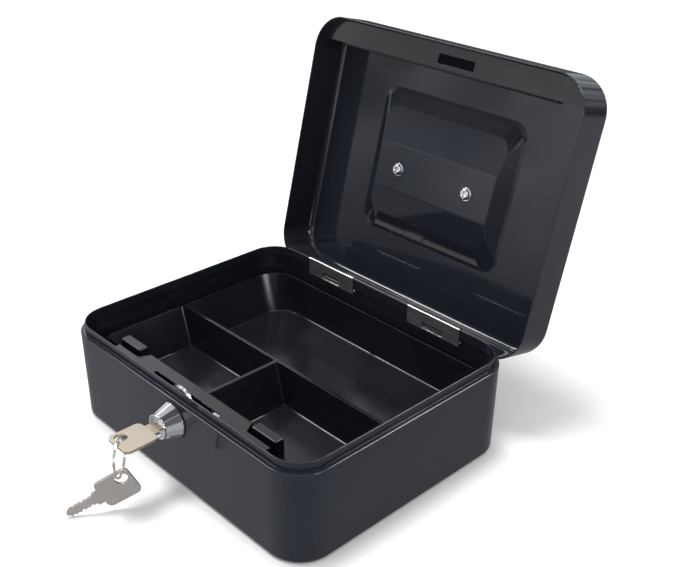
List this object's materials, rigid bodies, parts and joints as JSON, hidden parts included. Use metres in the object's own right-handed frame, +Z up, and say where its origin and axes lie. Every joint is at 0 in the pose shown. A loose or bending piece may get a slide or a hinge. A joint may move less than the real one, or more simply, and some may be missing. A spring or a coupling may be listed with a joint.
{
  "type": "cash box",
  "caption": "Pressed-steel cash box with a hinged lid, a cam lock, a key in the lock and a spare on a ring, a lift-out coin tray and a folding bail handle.",
  "frame": {"origin": "middle of the base's flat underside", "axes": "+Z up, +X to the right along the front, +Y from the lock towards the hinges"},
  "size_m": [0.2, 0.2825, 0.2034],
  "materials": {
    "black_powder_coat": "satin black powder coat",
    "black_plate": "low-sheen black paint",
    "bright_steel": "bright zinc-plated steel",
    "chrome": "polished chrome",
    "brass": "plain stamped brass",
    "black_rubber": "matte black rubber",
    "black_plastic": "satin moulded black plastic",
    "warm_nickel": "warm nickel-plated stamping",
    "nickel": "nickel-plated stamping"
  },
  "bodies": {
    "base": {"base_shell": "black_powder_coat", "lock_cover": "black_plate", "base_hinge_leaf_left": "bright_steel", "base_hinge_leaf_right": "bright_steel", "hinge_pin_left": "bright_steel", "hinge_pin_right": "bright_steel", "lock_gasket": "black_rubber", "lock_housing": "chrome", "lock_nut": "bright_steel"},
    "lid": {"lid_shell": "black_powder_coat", "lid_lock_strip": "black_plate", "lid_hinge_leaf_left": "black_powder_coat", "lid_hinge_leaf_right": "black_powder_coat", "handle_post_left": "chrome", "handle_post_right": "chrome", "handle_screws": "chrome", "handle_washers": "chrome"},
    "handle": {"handle_bail": "chrome"},
    "lock_core": {"lock_plug": "chrome", "lock_wafers": "brass", "lock_cam": "bright_steel", "cam_washer": "bright_steel", "cam_screw": "bright_steel"},
    "key_body": {"key": "warm_nickel"},
    "ring": {"key_ring": "nickel"},
    "spare": {"spare_key": "nickel"},
    "tray": {"coin_tray": "black_plastic"}
  },
  "joints": [
    {"name": "lid_hinge", "type": "hinge", "parent": "base", "child": "lid", "pos_m": [0, 0.0777, 0.0513], "axis": [-1, 0, 0], "range_deg": [-103.8, 0]},
    {"name": "handle_hinge", "type": "hinge", "parent": "lid", "child": "handle", "pos_m": [0, 0.12261, 0.11925], "axis": [1, 0, 0], "range_deg": [-13.8, 166.2]},
    {"name": "lock_turn", "type": "hinge", "parent": "base", "child": "lock_core", "pos_m": [0.0035, -0.0905, 0.0425], "axis": [0, 1, 0], "range_deg": [-90, 0]},
    {"name": "key_pull", "type": "slide", "parent": "lock_core", "child": "key_body", "axis": [0, -1, 0], "range_m": [0, 0.028]},
    {"name": "ring_swing", "type": "hinge", "parent": "key_body", "child": "ring", "pos_m": [0.00247, -0.11341, 0.0425], "axis": [-0.7254, -0.6884, 0], "range_deg": [0, 16]},
    {"name": "spare_key_swing", "type": "hinge", "parent": "ring", "child": "spare", "pos_m": [0.00213, -0.11305, 0.0235], "axis": [-0.6884, 0.7254, 0], "range_deg": [0, 13]},
    {"name": "tray_lift", "type": "slide", "parent": "base", "child": "tray", "axis": [0, 0, 1], "range_m": [0, 0.065]}
  ]
}
